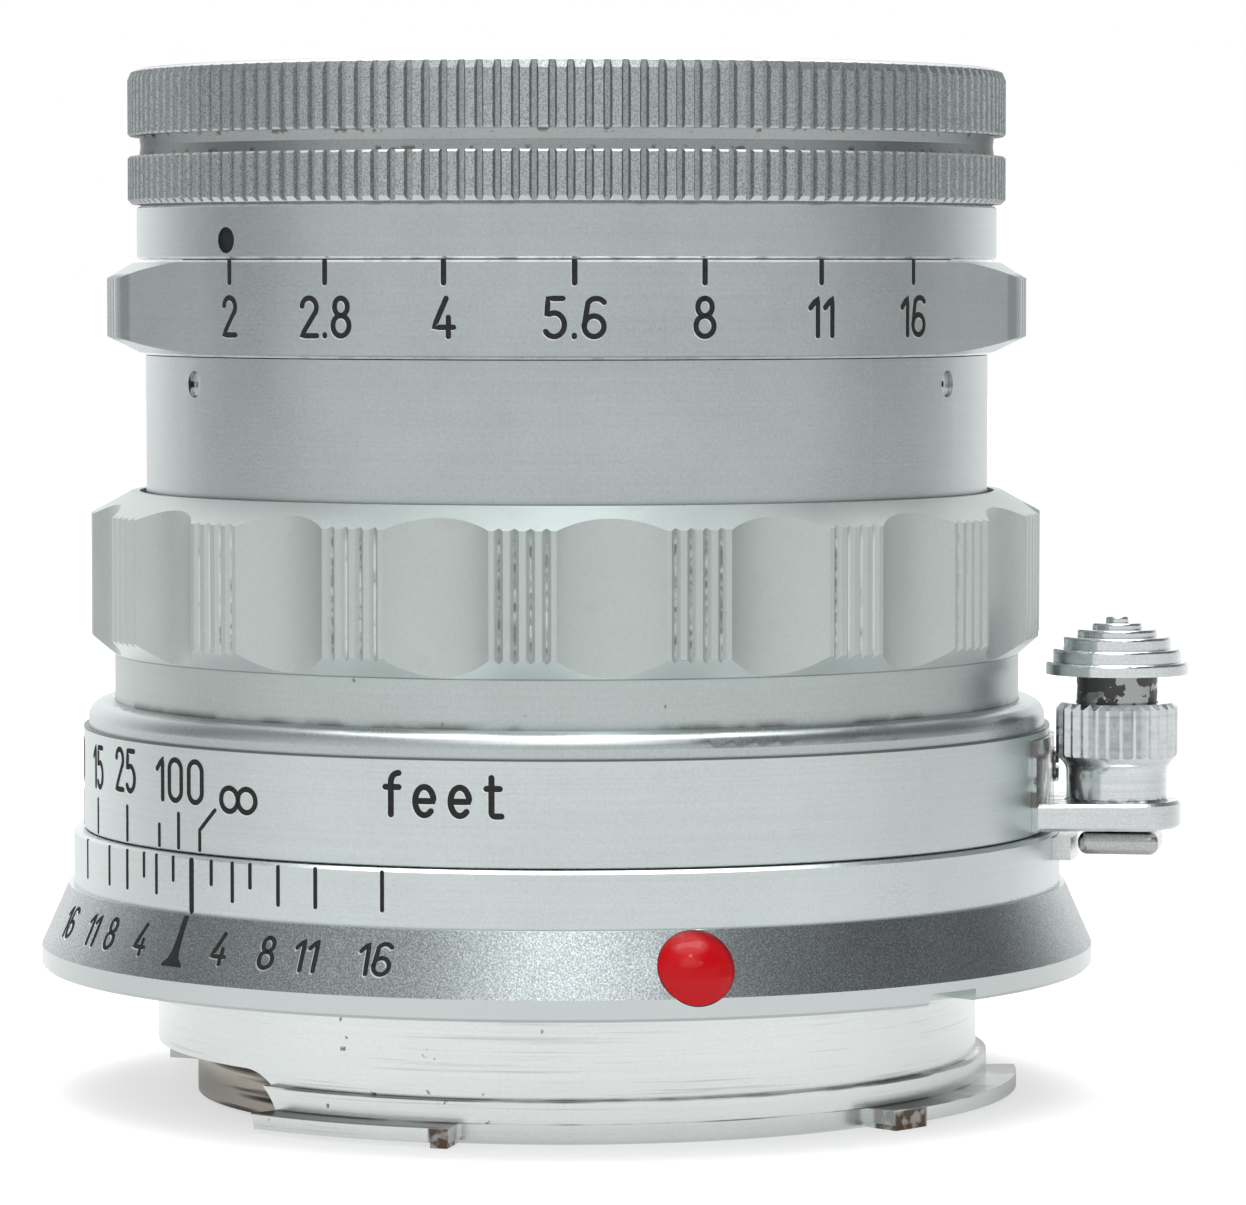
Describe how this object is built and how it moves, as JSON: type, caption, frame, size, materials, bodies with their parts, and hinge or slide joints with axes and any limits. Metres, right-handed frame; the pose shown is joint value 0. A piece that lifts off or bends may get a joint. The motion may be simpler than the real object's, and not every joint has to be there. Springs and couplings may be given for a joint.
{
  "type": "prime camera lens",
  "caption": "Compact camera lens with a bayonet mount, a non-rotating focusing head with an infinity lock button, an aperture ring with click stops and a knurled front filter ring.",
  "frame": {"origin": "on the optical axis, at the rear face of the mount flange, which seats on the camera", "axes": "+Z along the optical axis to the front of the lens, -Z out of the mount into the camera; -Y is the side with the index line of the depth-of-field scale"},
  "size_m": [0.0505, 0.0504, 0.0489],
  "materials": {
    "bright_chrome": "satin bright plating, worn",
    "satin_scale": "dark satin, fine grained",
    "bayonet_chrome": "bright, scratched and worn to brass",
    "steel": "plain",
    "brass_parts": "machined",
    "red_bead": "glossy red",
    "black_anodised": "matt black",
    "iris_steel": "blackened",
    "coated_glass": "polished, blue-violet coating"
  },
  "bodies": {
    "mount": {"bayonet_ring": "bayonet_chrome", "mount_screws": "bayonet_chrome", "depth_scale_ring": "satin_scale", "index_bead": "red_bead", "guide_tube": "brass_parts", "guide_keys": "brass_parts", "key_screws": "steel", "focus_retainer": "brass_parts", "focus_stop_pin": "steel", "lock_catch": "bayonet_chrome"},
    "focus": {"distance_ring": "bright_chrome", "clamp_ring": "bright_chrome", "focus_sleeve": "brass_parts", "grip_ring": "bright_chrome", "lock_bracket": "bright_chrome", "bracket_screw": "steel", "lock_post": "bright_chrome", "lock_spring": "steel"},
    "lock_button": {"lock_button": "bright_chrome", "lock_tongue": "steel", "lock_rod": "steel"},
    "head": {"head_helicoid": "brass_parts", "rangefinder_cam": "brass_parts", "barrel": "bright_chrome", "set_screws": "steel", "iris_housing": "black_anodised", "index_ring": "bright_chrome", "click_ball": "steel", "click_spring": "steel", "front_ring": "bright_chrome", "name_ring": "black_anodised", "front_cell": "black_anodised", "lens_element_1": "coated_glass", "lens_element_2": "coated_glass", "lens_element_3": "coated_glass", "front_spacer": "black_anodised", "rear_cell": "black_anodised", "lens_element_4": "coated_glass", "lens_element_5": "coated_glass", "lens_element_6": "coated_glass", "lens_element_7": "coated_glass", "rear_spacers": "black_anodised", "rear_retainer": "black_anodised"},
    "aperture": {"aperture_ring": "bright_chrome", "iris_cam_ring": "black_anodised", "aperture_pin": "steel"},
    "blade_1": {"iris_blade_1": "iris_steel"},
    "blade_2": {"iris_blade_2": "iris_steel"},
    "blade_3": {"iris_blade_3": "iris_steel"},
    "blade_4": {"iris_blade_4": "iris_steel"},
    "blade_5": {"iris_blade_5": "iris_steel"},
    "blade_6": {"iris_blade_6": "iris_steel"},
    "blade_7": {"iris_blade_7": "iris_steel"},
    "blade_8": {"iris_blade_8": "iris_steel"},
    "blade_9": {"iris_blade_9": "iris_steel"},
    "blade_10": {"iris_blade_10": "iris_steel"}
  },
  "joints": [
    {"name": "focus_turn", "type": "hinge", "parent": "mount", "child": "focus", "pos_m": [0, 0, 0], "axis": [0, 0, 1], "range_deg": [0, 117.01]},
    {"name": "head_slide", "type": "slide", "parent": "mount", "child": "head", "axis": [0, 0, 1], "range_m": [0, 0.0028]},
    {"name": "lock_press", "type": "slide", "parent": "focus", "child": "lock_button", "axis": [0, 0, -1], "range_m": [0, 0.001], "stiffness_N_per_m": 300, "springref_m": -0.0005, "deforming": ["lock_spring"]},
    {"name": "aperture_turn", "type": "hinge", "parent": "head", "child": "aperture", "pos_m": [0, 0, 0], "axis": [0, 0, 1], "range_deg": [-99, 0]},
    {"name": "blade_1_swing", "type": "hinge", "parent": "head", "child": "blade_1", "pos_m": [-0.00088, -0.01628, 0.0215], "axis": [0, 0, 1], "range_deg": [0, 34.61]},
    {"name": "blade_2_swing", "type": "hinge", "parent": "head", "child": "blade_2", "pos_m": [0.00885, -0.01369, 0.0215], "axis": [0, 0, 1], "range_deg": [0, 34.61]},
    {"name": "blade_3_swing", "type": "hinge", "parent": "head", "child": "blade_3", "pos_m": [0.01521, -0.00587, 0.0215], "axis": [0, 0, 1], "range_deg": [0, 34.61]},
    {"name": "blade_4_swing", "type": "hinge", "parent": "head", "child": "blade_4", "pos_m": [0.01575, 0.00419, 0.0215], "axis": [0, 0, 1], "range_deg": [0, 34.61]},
    {"name": "blade_5_swing", "type": "hinge", "parent": "head", "child": "blade_5", "pos_m": [0.01028, 0.01265, 0.0215], "axis": [0, 0, 1], "range_deg": [0, 34.61]},
    {"name": "blade_6_swing", "type": "hinge", "parent": "head", "child": "blade_6", "pos_m": [0.00088, 0.01628, 0.0215], "axis": [0, 0, 1], "range_deg": [0, 34.61]},
    {"name": "blade_7_swing", "type": "hinge", "parent": "head", "child": "blade_7", "pos_m": [-0.00885, 0.01369, 0.0215], "axis": [0, 0, 1], "range_deg": [0, 34.61]},
    {"name": "blade_8_swing", "type": "hinge", "parent": "head", "child": "blade_8", "pos_m": [-0.01521, 0.00587, 0.0215], "axis": [0, 0, 1], "range_deg": [0, 34.61]},
    {"name": "blade_9_swing", "type": "hinge", "parent": "head", "child": "blade_9", "pos_m": [-0.01575, -0.00419, 0.0215], "axis": [0, 0, 1], "range_deg": [0, 34.61]},
    {"name": "blade_10_swing", "type": "hinge", "parent": "head", "child": "blade_10", "pos_m": [-0.01028, -0.01265, 0.0215], "axis": [0, 0, 1], "range_deg": [0, 34.61]}
  ],
  "couplings": [
    {"joint": "focus_turn", "follows": "head_slide", "rad_per_m": 729.3},
    {"joint": "blade_1_swing", "follows": "aperture_turn", "ratio": -0.34949},
    {"joint": "blade_2_swing", "follows": "aperture_turn", "ratio": -0.34949},
    {"joint": "blade_3_swing", "follows": "aperture_turn", "ratio": -0.34949},
    {"joint": "blade_4_swing", "follows": "aperture_turn", "ratio": -0.34949},
    {"joint": "blade_5_swing", "follows": "aperture_turn", "ratio": -0.34949},
    {"joint": "blade_6_swing", "follows": "aperture_turn", "ratio": -0.34949},
    {"joint": "blade_7_swing", "follows": "aperture_turn", "ratio": -0.34949},
    {"joint": "blade_8_swing", "follows": "aperture_turn", "ratio": -0.34949},
    {"joint": "blade_9_swing", "follows": "aperture_turn", "ratio": -0.34949},
    {"joint": "blade_10_swing", "follows": "aperture_turn", "ratio": -0.34949}
  ]
}
